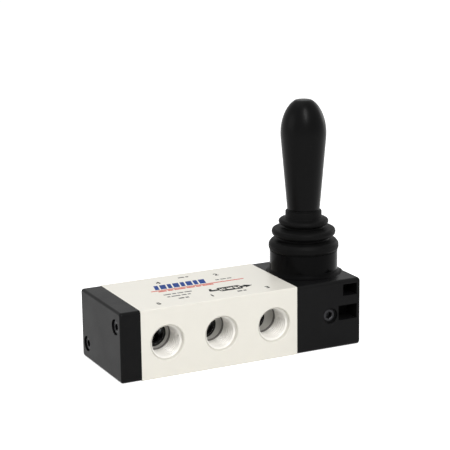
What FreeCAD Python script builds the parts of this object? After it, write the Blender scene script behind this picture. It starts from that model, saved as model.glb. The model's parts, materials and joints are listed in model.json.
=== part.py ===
import FreeCAD, Part
import math
import os

# Hand lever air valve: a spool valve block with an end cover, a lever housing
# and a lever that tilts to both sides of its upright middle position.
# X runs along the spool from the end cover to the lever housing, -Y is the
# side with three ports, Z is up. The origin is under the middle of the block.
# All sizes are in millimetres.

# Block of valve body, end cover and lever housing
BLOCK_DEPTH = 39.0
BLOCK_HEIGHT = 27.0
COVER_LENGTH = 8.1
BODY_LENGTH = 65.1
HOUSING_LENGTH = 28.2
BODY_EDGE_RADIUS = 0.35
COVER_EDGE_RADIUS = 1.4

# Heights above the block's bottom, the lever's place beside the middle of its
# housing, and its swing
AXIS_HEIGHT = 13.4
LEVER_SHIFT = -0.5
LEVER_ARM = 11.9
LEVER_SWING_DEG = 15.0

# Clearances
PRESS_GAP = 0.02
RUNNING_GAP = 0.05
SLIDE_GAP = 0.06
SEAL_GAP = 0.03
LOOSE_GAP = 0.25

# Ports
PORT_RADIUS = 5.72
PORT_DEPTH = 12.0
PORT_MOUTH_RADIUS = 7.0
PORT_PITCH = 22.3
PORT_ROW_SHIFT = 0.4
PASSAGE_RADIUS = 4.0

# Spool bore and its galleries
BORE_RADIUS = 5.5
GALLERY_RADIUS = 7.0
GALLERY_LENGTH = 5.5
GALLERY_PITCH = 10.5
GALLERY_ROW_SHIFT = -1.3
GALLERY_COUNT = 5

# Spool and its seals
SEAL_SECTION_RADIUS = 0.75
COLLAR_LENGTH = 4.0
COLLAR_GAP = 0.2
SPOOL_WAIST_RADIUS = 3.0
START_COLLAR_INSET = 3.8
END_COLLAR_INSET = 6.4
SHANK_RADIUS = 2.5

# Socket head screws of the end cover and the lever housing
SCREW_RADIUS = 1.5
SCREW_HEAD_RADIUS = 2.75
SCREW_HEAD_HEIGHT = 3.0
SCREW_SOCKET_FLATS = 2.5
SCREW_SOCKET_DEPTH = 1.6
SCREW_RECESS_RADIUS = 3.0
SCREW_RECESS_DEPTH = 3.6
SCREW_REACH = 5.0
SCREW_HOLE_SPARE = 0.6
SCREW_SPREAD_Y = 14.35
SCREW_SPREAD_Z = 7.25

# Face seals between the block's three parts
FACE_SEAL_RADIUS = 9.4
FACE_SEAL_SECTION_RADIUS = 0.55
FACE_GROOVE_DEPTH = 1.15
COVER_RECESS_RADIUS = 6.4
COVER_RECESS_DEPTH = 2.6

# Lever housing
CAVITY_RADIUS = 7.0
CAVITY_REACH = 9.6
SHAFT_RADIUS = 6.6
LEDGE_DROP = 3.3
NECK_RADIUS = 13.4
NECK_BORE_RADIUS = 10.0
NECK_HEIGHT = 9.0
NECK_FOOT_RADIUS = 1.9
SPIGOT_RADIUS = 11.7
SPIGOT_HEIGHT = 2.4
POCKET_DEPTH = 8.0
POCKET_END_WALL = 1.7
UPPER_POCKET_LENGTH = 6.2
UPPER_POCKET_HEIGHT = 4.6
UPPER_POCKET_TOP_WALL = 1.8
LOWER_POCKET_LENGTH = 8.2
LOWER_POCKET_HEIGHT = 5.9
LOWER_POCKET_RISE = 0.5

# Detent: screw, spring and ball, a little beyond the lever's axis
DETENT_SHIFT = 1.0
DETENT_SCREW_RADIUS = 2.45
DETENT_SCREW_LENGTH = 5.0
DETENT_SCREW_SINK = 0.9
DETENT_RECESS_RADIUS = 3.15
DETENT_SOCKET_FLATS = 2.5
DETENT_SOCKET_DEPTH = 2.5
DETENT_BALL_RADIUS = 2.0
DETENT_TRAVEL = 0.4
DETENT_WIRE_RADIUS = 0.25
DETENT_COILS = 3.5

# Pivot of the lever
CARRIER_HEIGHT = 8.4
CARRIER_WINDOW_LENGTH = 14.8
HUB_RADIUS = 5.5
HUB_WIDTH = 9.0
PIN_RADIUS = 1.5
BUSH_RADIUS = 2.6
CLIP_THICKNESS = 1.1
CLIP_GROOVE_DEPTH = 0.6
CLIP_WIDTH = 1.9
CLIP_OPENING_DEG = 50.0

# Lever rod and the yoke that it moves
ROD_RADIUS = 3.0
ROD_BALL_RADIUS = 3.0
ROD_NECK_RADIUS = 2.0
ROD_NECK_TOP_DROP = 5.0
YOKE_RADIUS = 5.5
YOKE_BACK = 9.0
YOKE_FRONT = 6.0
YOKE_SOCKET_DEPTH = 5.6
YOKE_MOUTH_RADIUS = 4.4
YOKE_MOUTH_START = 1.2
YOKE_PIN_RADIUS = 1.0
YOKE_PIN_INSET = 2.8

# Boot: heights above the neck's shoulder and outer radii
BOOT_WALL = 1.2
BOOT_HEIGHT = 15.8
BOOT_COLLAR_RADIUS = 7.1
BOOT_COLLAR_HEIGHT = 2.9
LOW_FOLD_RADIUS = 13.8
LOW_FOLD_HEIGHT = 2.0
LOW_FOLD_HALF = 1.9
MID_FOLD_RADIUS = 12.6
MID_FOLD_HEIGHT = 7.3
MID_FOLD_HALF = 1.45
TOP_FOLD_RADIUS = 9.85
TOP_FOLD_HEIGHT = 11.4
TOP_FOLD_HALF = 1.15
FOLD_BULGE = 0.9
LOW_VALLEY_RADIUS = 10.2
TOP_VALLEY_RADIUS = 8.0
BOOT_FIT_GAP = 0.1

# Handle and its threaded insert
GRIP_GAP = 0.5
GRIP_LENGTH = 43.3
GRIP_FOOT_RADIUS = 6.45
GRIP_WIDE_RADIUS = 8.92
GRIP_WIDE_HEIGHT = 30.1
GRIP_DOME_HEIGHT = 13.9
GRIP_NOSE_RADIUS = 3.2
INSERT_COLLAR_RADIUS = 5.6
INSERT_RADIUS = 4.2
INSERT_LENGTH = 14.0
INSERT_FLOOR = 1.5

# Places that follow from the sizes above
TOTAL_LENGTH = COVER_LENGTH + BODY_LENGTH + HOUSING_LENGTH
COVER_END_X = -TOTAL_LENGTH / 2
BODY_START_X = COVER_END_X + COVER_LENGTH
BODY_END_X = BODY_START_X + BODY_LENGTH
HOUSING_END_X = BODY_END_X + HOUSING_LENGTH
BODY_MIDDLE_X = (BODY_START_X + BODY_END_X) / 2
FRONT_Y = -BLOCK_DEPTH / 2
BACK_Y = BLOCK_DEPTH / 2
LEVER_X = (BODY_END_X + HOUSING_END_X) / 2 + LEVER_SHIFT
DETENT_X = LEVER_X + DETENT_SHIFT

LEVER_SWING = math.radians(LEVER_SWING_DEG)
STROKE = LEVER_ARM * math.sin(LEVER_SWING)
PIVOT_HEIGHT = AXIS_HEIGHT + LEVER_ARM
LEDGE_HEIGHT = PIVOT_HEIGHT - LEDGE_DROP
CARRIER_TOP = LEDGE_HEIGHT + CARRIER_HEIGHT
SHOULDER_HEIGHT = BLOCK_HEIGHT + NECK_HEIGHT
BOOT_FOOT = SHOULDER_HEIGHT + SLIDE_GAP
BOOT_TOP = SHOULDER_HEIGHT + BOOT_HEIGHT
COLLAR_FOOT = BOOT_TOP - BOOT_COLLAR_HEIGHT
GRIP_FOOT = BOOT_TOP + GRIP_GAP
INSERT_TOP = BOOT_TOP + INSERT_LENGTH

GALLERY_MIDDLE_X = BODY_MIDDLE_X + GALLERY_ROW_SHIFT
GALLERY_X = [GALLERY_MIDDLE_X + GALLERY_PITCH * (i - (GALLERY_COUNT - 1) / 2) for i in range(GALLERY_COUNT)]
PORT_MIDDLE_X = BODY_MIDDLE_X + PORT_ROW_SHIFT
FRONT_PORT_X = [PORT_MIDDLE_X + PORT_PITCH * i for i in (-1, 0, 1)]
BACK_PORT_X = [PORT_MIDDLE_X + PORT_PITCH * i for i in (-0.5, 0.5)]
LAND_X = [GALLERY_MIDDLE_X + GALLERY_PITCH * i for i in (-1.5, -0.5, 0.5, 1.5)]
SEAL_X = [BODY_START_X + START_COLLAR_INSET] + LAND_X + [BODY_END_X - END_COLLAR_INSET]

COVER_SCREWS = [(-SCREW_SPREAD_Y, SCREW_SPREAD_Z), (SCREW_SPREAD_Y, -SCREW_SPREAD_Z)]
HOUSING_SCREWS = [(-SCREW_SPREAD_Y, -SCREW_SPREAD_Z), (SCREW_SPREAD_Y, SCREW_SPREAD_Z)]

ALONG_X = (1, 0, 0)
AGAINST_X = (-1, 0, 0)
ALONG_Y = (0, 1, 0)
UP = (0, 0, 1)


def point(x, y, z):
    return FreeCAD.Vector(x, y, z)


def rod(radius, length, base, direction):
    return Part.makeCylinder(radius, length, point(*base), point(*direction))


def cone(start_radius, end_radius, length, base, direction):
    return Part.makeCone(start_radius, end_radius, length, point(*base), point(*direction))


def ring(radius, section_radius, middle):
    """An O-ring round an axis along X."""
    return Part.makeTorus(radius, section_radius, point(*middle), point(*ALONG_X))


def block(x_range, y_range, z_range):
    corner = point(x_range[0], y_range[0], z_range[0])
    size = [pair[1] - pair[0] for pair in (x_range, y_range, z_range)]
    return Part.makeBox(size[0], size[1], size[2], corner)


def turned(edges, base, direction):
    """A solid of revolution. The edges are drawn as radius along X and height
    along Z, then the solid's own axis is laid from base along direction."""
    face = Part.Face(Part.Wire(edges))
    solid = face.revolve(point(0, 0, 0), point(0, 0, 1), 360)
    turn = FreeCAD.Rotation(point(0, 0, 1), point(*direction))
    solid.Placement = FreeCAD.Placement(point(*base), turn)
    if solid.Volume < 0:
        solid.reverse()
    return solid


def outline(points):
    """Straight edges round a closed list of (radius, height) points."""
    corners = [point(radius, 0, height) for radius, height in points]
    corners.append(corners[0])
    return Part.makePolygon(corners).Edges


def line(start, end):
    return Part.makeLine(point(start[0], 0, start[1]), point(end[0], 0, end[1]))


def arc(start, middle, end):
    corners = [point(radius, 0, height) for radius, height in (start, middle, end)]
    return Part.Arc(*corners).toShape()


def hexagon(flats, depth, base, direction):
    """A hexagonal prism, for a socket, laid from base along direction."""
    radius = flats / 2 / math.cos(math.pi / 6)
    corners = []
    for i in range(7):
        angle = math.pi / 3 * i
        corners.append(point(radius * math.cos(angle), radius * math.sin(angle), 0))
    prism = Part.Face(Part.makePolygon(corners)).extrude(point(0, 0, depth))
    turn = FreeCAD.Rotation(point(0, 0, 1), point(*direction))
    prism.Placement = FreeCAD.Placement(point(*base), turn)
    return prism


def long_edges(shape, axis):
    """The straight edges of a block that run along one axis."""
    found = []
    for edge in shape.Edges:
        span = edge.Vertexes[-1].Point - edge.Vertexes[0].Point
        if span.Length > 0 and abs(abs(span.normalize()[axis]) - 1) < 1e-6:
            found.append(edge)
    return found


def outer_block(start_x, end_x, rounded_face_x):
    """A cover block with its long edges and the edges of its free end rounded."""
    shape = block((start_x, end_x), (FRONT_Y, BACK_Y), (0, BLOCK_HEIGHT))
    shape = shape.makeFillet(COVER_EDGE_RADIUS, long_edges(shape, 0))
    rim = []
    for edge in shape.Edges:
        if all(abs(vertex.X - rounded_face_x) < 1e-6 for vertex in edge.Vertexes):
            rim.append(edge)
    return shape.makeFillet(COVER_EDGE_RADIUS * 0.7, rim)


def face_groove(face_x, direction):
    """The ring that is cut into an end face for its O-ring."""
    half = FACE_SEAL_SECTION_RADIUS + RUNNING_GAP
    outer = rod(FACE_SEAL_RADIUS + half, FACE_GROOVE_DEPTH, (face_x, 0, AXIS_HEIGHT), direction)
    inner = rod(FACE_SEAL_RADIUS - half, FACE_GROOVE_DEPTH, (face_x, 0, AXIS_HEIGHT), direction)
    return outer.cut(inner)


def face_seal(face_x, side):
    """An O-ring in the groove of an end face; side is -1 or 1 along X."""
    middle = (face_x + side * FACE_GROOVE_DEPTH / 2, 0, AXIS_HEIGHT)
    return ring(FACE_SEAL_RADIUS, FACE_SEAL_SECTION_RADIUS, middle)


def make_cover_seal():
    return face_seal(BODY_START_X, -1)


def make_housing_seal():
    return face_seal(BODY_END_X, 1)


def port(x, side):
    """A port's bore, mouth and passage; side is -1 in front and 1 at the back."""
    face_y = side * BLOCK_DEPTH / 2
    inward = (0, -side, 0)
    mouth = PORT_MOUTH_RADIUS - PORT_RADIUS
    bore = rod(PORT_RADIUS, PORT_DEPTH, (x, face_y, AXIS_HEIGHT), inward)
    rim = cone(PORT_MOUTH_RADIUS, PORT_RADIUS, mouth, (x, face_y, AXIS_HEIGHT), inward)
    return bore.fuse(rim)


def passage(x, side):
    """The drilling from a port's floor to the gallery of the spool bore."""
    start_y = side * (BLOCK_DEPTH / 2 - PORT_DEPTH)
    return rod(PASSAGE_RADIUS, abs(start_y), (x, start_y, AXIS_HEIGHT), (0, -side, 0))


def screw_hole(offset, face_x, direction):
    base = (face_x, offset[0], AXIS_HEIGHT + offset[1])
    return rod(SCREW_RADIUS + PRESS_GAP, SCREW_REACH + SCREW_HOLE_SPARE, base, direction)


def make_valve_body():
    body = block((BODY_START_X, BODY_END_X), (FRONT_Y, BACK_Y), (0, BLOCK_HEIGHT))
    body = body.makeFillet(BODY_EDGE_RADIUS, long_edges(body, 0))
    cuts = [rod(BORE_RADIUS, BODY_LENGTH, (BODY_START_X, 0, AXIS_HEIGHT), ALONG_X)]
    for x in GALLERY_X:
        cuts.append(rod(GALLERY_RADIUS, GALLERY_LENGTH, (x - GALLERY_LENGTH / 2, 0, AXIS_HEIGHT), ALONG_X))
    for x, gallery_x in zip(FRONT_PORT_X, GALLERY_X[0::2]):
        cuts.append(port(x, -1))
        cuts.append(passage(gallery_x, -1))
    for x, gallery_x in zip(BACK_PORT_X, GALLERY_X[1::2]):
        cuts.append(port(x, 1))
        cuts.append(passage(gallery_x, 1))
    for offset in COVER_SCREWS:
        cuts.append(screw_hole(offset, BODY_START_X, ALONG_X))
    for offset in HOUSING_SCREWS:
        cuts.append(screw_hole(offset, BODY_END_X, AGAINST_X))
    return body.cut(cuts)


def sunk_hole(offset, outer_x, direction, length):
    """A screw's clearance hole with its recess, from an outer end face."""
    base = (outer_x, offset[0], AXIS_HEIGHT + offset[1])
    hole = rod(SCREW_RADIUS + LOOSE_GAP, length, base, direction)
    return hole.fuse(rod(SCREW_RECESS_RADIUS, SCREW_RECESS_DEPTH, base, direction))


def screw(offset, outer_x, direction, length):
    """A socket head screw that stands in the recess of an outer end face."""
    seat_x = outer_x + direction[0] * SCREW_RECESS_DEPTH
    seat = (seat_x, offset[0], AXIS_HEIGHT + offset[1])
    back = (-direction[0], 0, 0)
    head = rod(SCREW_HEAD_RADIUS, SCREW_HEAD_HEIGHT, seat, back)
    shank = rod(SCREW_RADIUS, length - SCREW_RECESS_DEPTH + SCREW_REACH, seat, direction)
    top = (seat_x + back[0] * SCREW_HEAD_HEIGHT, seat[1], seat[2])
    return head.fuse(shank).cut(hexagon(SCREW_SOCKET_FLATS, SCREW_SOCKET_DEPTH, top, direction))


def make_end_cover():
    cover = outer_block(COVER_END_X, BODY_START_X, COVER_END_X)
    cuts = [face_groove(BODY_START_X, AGAINST_X)]
    cuts.append(rod(COVER_RECESS_RADIUS, COVER_RECESS_DEPTH, (BODY_START_X, 0, AXIS_HEIGHT), AGAINST_X))
    for offset in COVER_SCREWS:
        cuts.append(sunk_hole(offset, COVER_END_X, ALONG_X, COVER_LENGTH))
    return cover.cut(cuts)


def make_cover_screws():
    screws = [screw(offset, COVER_END_X, ALONG_X, COVER_LENGTH) for offset in COVER_SCREWS]
    return Part.makeCompound(screws)


def make_housing_screws():
    screws = [screw(offset, HOUSING_END_X, AGAINST_X, HOUSING_LENGTH) for offset in HOUSING_SCREWS]
    return Part.makeCompound(screws)


def neck_solid():
    """The neck with its hollow foot, trimmed to the housing's sides."""
    foot_height = BLOCK_HEIGHT + NECK_FOOT_RADIUS
    foot_radius = NECK_RADIUS + NECK_FOOT_RADIUS
    slack = NECK_FOOT_RADIUS * (1 - math.sqrt(0.5))
    hollow = (NECK_RADIUS + slack, BLOCK_HEIGHT + slack)
    root = BLOCK_HEIGHT - COVER_EDGE_RADIUS
    spigot_top = SHOULDER_HEIGHT + SPIGOT_HEIGHT
    edges = [line((0, root), (foot_radius, root)),
             line((foot_radius, root), (foot_radius, BLOCK_HEIGHT)),
             arc((foot_radius, BLOCK_HEIGHT), hollow, (NECK_RADIUS, foot_height)),
             line((NECK_RADIUS, foot_height), (NECK_RADIUS, SHOULDER_HEIGHT)),
             line((NECK_RADIUS, SHOULDER_HEIGHT), (SPIGOT_RADIUS, SHOULDER_HEIGHT)),
             line((SPIGOT_RADIUS, SHOULDER_HEIGHT), (SPIGOT_RADIUS, spigot_top)),
             line((SPIGOT_RADIUS, spigot_top), (0, spigot_top)),
             line((0, spigot_top), (0, root))]
    neck = turned(edges, (LEVER_X, 0, 0), UP)
    sides = block((BODY_END_X, HOUSING_END_X), (FRONT_Y, BACK_Y), (0, spigot_top))
    return neck.common(sides)


def side_pocket(side, length, z_low, z_high):
    """A moulded pocket in a long side; side is -1 in front and 1 at the back."""
    face_y = side * BLOCK_DEPTH / 2
    floor_y = face_y - side * POCKET_DEPTH
    end_x = HOUSING_END_X - POCKET_END_WALL
    return block((end_x - length, end_x), (min(face_y, floor_y), max(face_y, floor_y)), (z_low, z_high))


def detent_hole():
    """Recess, screw thread and ball guide, from the front face inwards."""
    guide = rod(DETENT_BALL_RADIUS + RUNNING_GAP, BLOCK_DEPTH / 2, (DETENT_X, FRONT_Y, AXIS_HEIGHT), ALONG_Y)
    thread_length = DETENT_SCREW_SINK + DETENT_SCREW_LENGTH
    thread = rod(DETENT_SCREW_RADIUS + PRESS_GAP, thread_length, (DETENT_X, FRONT_Y, AXIS_HEIGHT), ALONG_Y)
    recess = rod(DETENT_RECESS_RADIUS, DETENT_SCREW_SINK, (DETENT_X, FRONT_Y, AXIS_HEIGHT), ALONG_Y)
    return guide.fuse([thread, recess])


def make_lever_housing():
    housing = outer_block(BODY_END_X, HOUSING_END_X, HOUSING_END_X).fuse(neck_solid())
    cavity_length = LEVER_X - BODY_END_X + CAVITY_REACH
    spigot_top = SHOULDER_HEIGHT + SPIGOT_HEIGHT
    clip_foot = CARRIER_TOP + RUNNING_GAP
    clip_space = CLIP_THICKNESS + RUNNING_GAP
    upper_top = BLOCK_HEIGHT - UPPER_POCKET_TOP_WALL
    lower_foot = AXIS_HEIGHT + LOWER_POCKET_RISE - LOWER_POCKET_HEIGHT / 2
    lower_top = lower_foot + LOWER_POCKET_HEIGHT
    cuts = [face_groove(BODY_END_X, ALONG_X),
            rod(CAVITY_RADIUS, cavity_length, (BODY_END_X, 0, AXIS_HEIGHT), ALONG_X),
            rod(SHAFT_RADIUS, LEVER_ARM, (LEVER_X, 0, AXIS_HEIGHT), UP),
            rod(NECK_BORE_RADIUS, spigot_top - LEDGE_HEIGHT, (LEVER_X, 0, LEDGE_HEIGHT), UP),
            rod(NECK_BORE_RADIUS + CLIP_GROOVE_DEPTH, clip_space, (LEVER_X, 0, clip_foot), UP),
            side_pocket(-1, UPPER_POCKET_LENGTH, upper_top - UPPER_POCKET_HEIGHT, upper_top),
            side_pocket(-1, LOWER_POCKET_LENGTH, lower_foot, lower_top),
            side_pocket(1, LOWER_POCKET_LENGTH, lower_foot, lower_top),
            detent_hole()]
    for offset in HOUSING_SCREWS:
        cuts.append(sunk_hole(offset, HOUSING_END_X, AGAINST_X, HOUSING_LENGTH))
    return housing.cut(cuts)


def make_spool():
    """Six grooved collars with waists between them and a shank for the yoke."""
    collar = BORE_RADIUS - COLLAR_GAP
    floor = BORE_RADIUS - SEAL_GAP - 2 * SEAL_SECTION_RADIUS - PRESS_GAP
    groove_half = SEAL_SECTION_RADIUS + RUNNING_GAP
    profile = [(0, SEAL_X[0] - COLLAR_LENGTH / 2)]
    for x in SEAL_X:
        start, end = x - COLLAR_LENGTH / 2, x + COLLAR_LENGTH / 2
        if x != SEAL_X[0]:
            profile.append((SPOOL_WAIST_RADIUS, start))
        profile += [(collar, start), (collar, x - groove_half), (floor, x - groove_half)]
        profile += [(floor, x + groove_half), (collar, x + groove_half), (collar, end)]
        profile.append((SPOOL_WAIST_RADIUS if x != SEAL_X[-1] else SHANK_RADIUS, end))
    shank_end = LEVER_X - YOKE_BACK + YOKE_SOCKET_DEPTH - RUNNING_GAP
    profile += [(SHANK_RADIUS, shank_end), (0, shank_end)]
    spool = turned(outline(profile), (0, 0, AXIS_HEIGHT), ALONG_X)
    return spool.cut(yoke_pin_rod(YOKE_PIN_RADIUS + PRESS_GAP, SHANK_RADIUS))


def make_spool_seals():
    ring_radius = BORE_RADIUS - SEAL_GAP - SEAL_SECTION_RADIUS
    return Part.makeCompound([ring(ring_radius, SEAL_SECTION_RADIUS, (x, 0, AXIS_HEIGHT)) for x in SEAL_X])


def yoke_pin_rod(radius, half_length):
    base = (LEVER_X - YOKE_BACK + YOKE_PIN_INSET, 0, AXIS_HEIGHT - half_length)
    return rod(radius, 2 * half_length, base, UP)


def make_spool_yoke():
    """The follower that the lever's ball moves, with three detent dimples."""
    start_x = LEVER_X - YOKE_BACK
    yoke = rod(YOKE_RADIUS, YOKE_BACK + YOKE_FRONT, (start_x, 0, AXIS_HEIGHT), ALONG_X)
    hole = ROD_BALL_RADIUS + SLIDE_GAP
    mouth_height = AXIS_HEIGHT + YOKE_MOUTH_START
    mouth_length = YOKE_RADIUS - YOKE_MOUTH_START
    cuts = [rod(SHANK_RADIUS + PRESS_GAP, YOKE_SOCKET_DEPTH, (start_x, 0, AXIS_HEIGHT), ALONG_X),
            rod(hole, 2 * YOKE_RADIUS, (LEVER_X, 0, AXIS_HEIGHT - YOKE_RADIUS), UP),
            cone(hole, YOKE_MOUTH_RADIUS, mouth_length, (LEVER_X, 0, mouth_height), UP),
            yoke_pin_rod(YOKE_PIN_RADIUS + PRESS_GAP, YOKE_RADIUS)]
    seated_y = -YOKE_RADIUS - DETENT_BALL_RADIUS - RUNNING_GAP + DETENT_TRAVEL
    for step in (-1, 0, 1):
        centre = point(DETENT_X + step * STROKE, seated_y, AXIS_HEIGHT)
        cuts.append(Part.makeSphere(DETENT_BALL_RADIUS + RUNNING_GAP, centre))
    return yoke.cut(cuts)


def make_yoke_pin():
    return yoke_pin_rod(YOKE_PIN_RADIUS, YOKE_RADIUS - COLLAR_GAP)


def make_detent_screw():
    start = (DETENT_X, FRONT_Y + DETENT_SCREW_SINK, AXIS_HEIGHT)
    body = rod(DETENT_SCREW_RADIUS, DETENT_SCREW_LENGTH, start, ALONG_Y)
    return body.cut(hexagon(DETENT_SOCKET_FLATS, DETENT_SOCKET_DEPTH, start, ALONG_Y))


def detent_ball_centre():
    return point(DETENT_X, -YOKE_RADIUS - RUNNING_GAP - DETENT_BALL_RADIUS, AXIS_HEIGHT)


def make_detent_ball():
    return Part.makeSphere(DETENT_BALL_RADIUS, detent_ball_centre())


def make_detent_spring():
    """A round wire wound between the screw's inner end and the ball."""
    start_y = FRONT_Y + DETENT_SCREW_SINK + DETENT_SCREW_LENGTH + DETENT_WIRE_RADIUS + PRESS_GAP
    end_y = detent_ball_centre().y - DETENT_BALL_RADIUS - DETENT_WIRE_RADIUS - PRESS_GAP
    coil_radius = DETENT_BALL_RADIUS - DETENT_WIRE_RADIUS - LOOSE_GAP
    height = end_y - start_y
    path = Part.Wire(Part.makeHelix(height / DETENT_COILS, height, coil_radius).Edges)
    section = Part.Wire(Part.makeCircle(DETENT_WIRE_RADIUS, point(coil_radius, 0, 0), point(0, 1, 0)))
    spring = path.makePipeShell([section], True, True)
    turn = FreeCAD.Rotation(point(0, 0, 1), point(*ALONG_Y))
    spring.Placement = FreeCAD.Placement(point(DETENT_X, start_y, AXIS_HEIGHT), turn)
    return spring


def make_pivot_carrier():
    """A ring with a window that lets the lever tilt, and two bush bores."""
    radius = NECK_BORE_RADIUS - RUNNING_GAP
    carrier = rod(radius, CARRIER_HEIGHT, (LEVER_X, 0, LEDGE_HEIGHT), UP)
    half_length = CARRIER_WINDOW_LENGTH / 2
    half_width = HUB_WIDTH / 2 + LOOSE_GAP
    window = block((LEVER_X - half_length, LEVER_X + half_length), (-half_width, half_width),
                   (LEDGE_HEIGHT, CARRIER_TOP))
    bores = rod(BUSH_RADIUS + PRESS_GAP, 2 * radius, (LEVER_X, -radius, PIVOT_HEIGHT), ALONG_Y)
    return carrier.cut([window, bores])


def bush(side):
    inner_y = HUB_WIDTH / 2 + LOOSE_GAP
    length = NECK_BORE_RADIUS - LOOSE_GAP - inner_y
    base = (LEVER_X, side * inner_y, PIVOT_HEIGHT)
    outer = rod(BUSH_RADIUS, length, base, (0, side, 0))
    sleeve = outer.cut(rod(PIN_RADIUS + RUNNING_GAP, length, base, (0, side, 0)))
    return sleeve.common(rod(NECK_BORE_RADIUS - RUNNING_GAP, CARRIER_HEIGHT, (LEVER_X, 0, LEDGE_HEIGHT), UP))


def make_pivot_bushes():
    return Part.makeCompound([bush(-1), bush(1)])


def make_pivot_pin():
    half = NECK_BORE_RADIUS - 2 * LOOSE_GAP
    return rod(PIN_RADIUS, 2 * half, (LEVER_X, -half, PIVOT_HEIGHT), ALONG_Y)


def make_carrier_clip():
    """An open ring that snaps into the neck's groove above the carrier."""
    foot = CARRIER_TOP + RUNNING_GAP
    outer = NECK_BORE_RADIUS + CLIP_GROOVE_DEPTH - RUNNING_GAP
    inner = outer - CLIP_WIDTH
    base = (LEVER_X, 0, foot)
    clip = rod(outer, CLIP_THICKNESS, base, UP).cut(rod(inner, CLIP_THICKNESS, base, UP))
    reach = 2 * outer
    half_gap = reach * math.tan(math.radians(CLIP_OPENING_DEG / 2))
    corners = [(0, 0), (half_gap, reach), (-half_gap, reach), (0, 0)]
    wedge = Part.Face(Part.makePolygon([point(LEVER_X + x, y, foot) for x, y in corners]))
    return clip.cut(wedge.extrude(point(0, 0, CLIP_THICKNESS)))


def make_lever_hub():
    hub = rod(HUB_RADIUS, HUB_WIDTH, (LEVER_X, -HUB_WIDTH / 2, PIVOT_HEIGHT), ALONG_Y)
    foot = PIVOT_HEIGHT - HUB_RADIUS
    cuts = [rod(ROD_RADIUS + PRESS_GAP, 2 * HUB_RADIUS, (LEVER_X, 0, foot), UP),
            rod(PIN_RADIUS + PRESS_GAP, HUB_WIDTH, (LEVER_X, -HUB_WIDTH / 2, PIVOT_HEIGHT), ALONG_Y)]
    return hub.cut(cuts)


def make_lever_rod():
    """The rod with its ball end, turned in one piece and cross drilled."""
    ball_foot = AXIS_HEIGHT - ROD_BALL_RADIUS
    join = AXIS_HEIGHT + math.sqrt(ROD_BALL_RADIUS ** 2 - ROD_NECK_RADIUS ** 2)
    neck_top = PIVOT_HEIGHT - ROD_NECK_TOP_DROP
    top = INSERT_TOP - INSERT_FLOOR - RUNNING_GAP
    edges = [arc((0, ball_foot), (ROD_BALL_RADIUS, AXIS_HEIGHT), (ROD_NECK_RADIUS, join)),
             line((ROD_NECK_RADIUS, join), (ROD_NECK_RADIUS, neck_top)),
             line((ROD_NECK_RADIUS, neck_top), (ROD_RADIUS, neck_top)),
             line((ROD_RADIUS, neck_top), (ROD_RADIUS, top)),
             line((ROD_RADIUS, top), (0, top)),
             line((0, top), (0, ball_foot))]
    shaft = turned(edges, (LEVER_X, 0, 0), UP)
    cross = rod(PIN_RADIUS + PRESS_GAP, 2 * ROD_RADIUS, (LEVER_X, -ROD_RADIUS, PIVOT_HEIGHT), ALONG_Y)
    return shaft.cut(cross)


def fold(radius, height, half):
    """The bulging outer edge of one fold, from its lower to its upper rim."""
    middle = SHOULDER_HEIGHT + height
    rim = radius - FOLD_BULGE
    return arc((rim, middle - half), (radius, middle), (rim, middle + half))


def end_of(edge):
    last = edge.Vertexes[-1].Point
    return (last.x, last.z)


def start_of(edge):
    first = edge.Vertexes[0].Point
    return (first.x, first.z)


def make_boot():
    """Three folds and a collar, with an even wall inside."""
    folds = [fold(LOW_FOLD_RADIUS, LOW_FOLD_HEIGHT, LOW_FOLD_HALF),
             fold(MID_FOLD_RADIUS, MID_FOLD_HEIGHT, MID_FOLD_HALF),
             fold(TOP_FOLD_RADIUS, TOP_FOLD_HEIGHT, TOP_FOLD_HALF)]
    low_valley = (LOW_VALLEY_RADIUS, (end_of(folds[0])[1] + start_of(folds[1])[1]) / 2)
    top_valley = (TOP_VALLEY_RADIUS, (end_of(folds[1])[1] + start_of(folds[2])[1]) / 2)
    foot_radius = SPIGOT_RADIUS + BOOT_FIT_GAP
    collar_bore = INSERT_COLLAR_RADIUS + BOOT_FIT_GAP
    mid_fold_z = SHOULDER_HEIGHT + MID_FOLD_HEIGHT
    top_fold_z = SHOULDER_HEIGHT + TOP_FOLD_HEIGHT
    outer = [(BOOT_COLLAR_RADIUS, COLLAR_FOOT), (BOOT_COLLAR_RADIUS, BOOT_TOP), (collar_bore, BOOT_TOP)]
    inner = [(collar_bore, COLLAR_FOOT),
             (TOP_FOLD_RADIUS - FOLD_BULGE - BOOT_WALL, top_fold_z),
             (TOP_VALLEY_RADIUS - BOOT_WALL, top_valley[1]),
             (MID_FOLD_RADIUS - FOLD_BULGE - BOOT_WALL, mid_fold_z),
             (LOW_VALLEY_RADIUS - BOOT_WALL, low_valley[1]),
             (foot_radius, SHOULDER_HEIGHT + SPIGOT_HEIGHT + BOOT_FIT_GAP),
             (foot_radius, BOOT_FOOT)]
    edges = [line((foot_radius, BOOT_FOOT), (start_of(folds[0])[0], BOOT_FOOT)),
             line((start_of(folds[0])[0], BOOT_FOOT), start_of(folds[0])), folds[0],
             line(end_of(folds[0]), low_valley), line(low_valley, start_of(folds[1])), folds[1],
             line(end_of(folds[1]), top_valley), line(top_valley, start_of(folds[2])), folds[2]]
    last = end_of(folds[2])
    for corner in outer + inner:
        edges.append(line(last, corner))
        last = corner
    return turned(edges, (LEVER_X, 0, 0), UP)


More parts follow.
